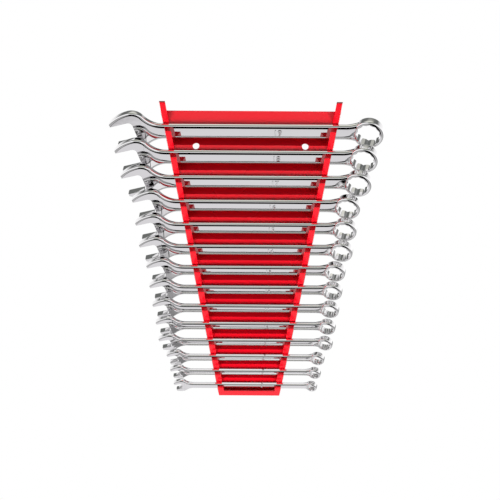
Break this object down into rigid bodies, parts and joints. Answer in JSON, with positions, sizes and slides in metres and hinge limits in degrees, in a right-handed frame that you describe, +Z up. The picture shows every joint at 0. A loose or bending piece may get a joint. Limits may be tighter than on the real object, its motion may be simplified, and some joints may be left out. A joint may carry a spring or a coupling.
{
  "type": "wrench set with rack",
  "caption": "Combination wrenches graded by size, each resting in a sloping slot of a tapered, stepped plastic rack with two mounting holes.",
  "frame": {"origin": "middle between the two mounting holes, in the web that they pass through; the wall is 13.65 mm behind it", "axes": "+X to the box ends, +Y into the wall, +Z up; the front faces -Y"},
  "size_m": [0.2453, 0.0312, 0.2613],
  "materials": {
    "rack": "glossy injection-moulded",
    "wrench": "mirror polished"
  },
  "bodies": {
    "root": {"rack": "rack", "wrench_19mm": "wrench", "wrench_18mm": "wrench", "wrench_17mm": "wrench", "wrench_16mm": "wrench", "wrench_15mm": "wrench", "wrench_14mm": "wrench", "wrench_13mm": "wrench", "wrench_12mm": "wrench", "wrench_11mm": "wrench", "wrench_10mm": "wrench", "wrench_9mm": "wrench", "wrench_8mm": "wrench", "wrench_7mm": "wrench", "wrench_6mm": "wrench"}
  },
  "joints": []
}
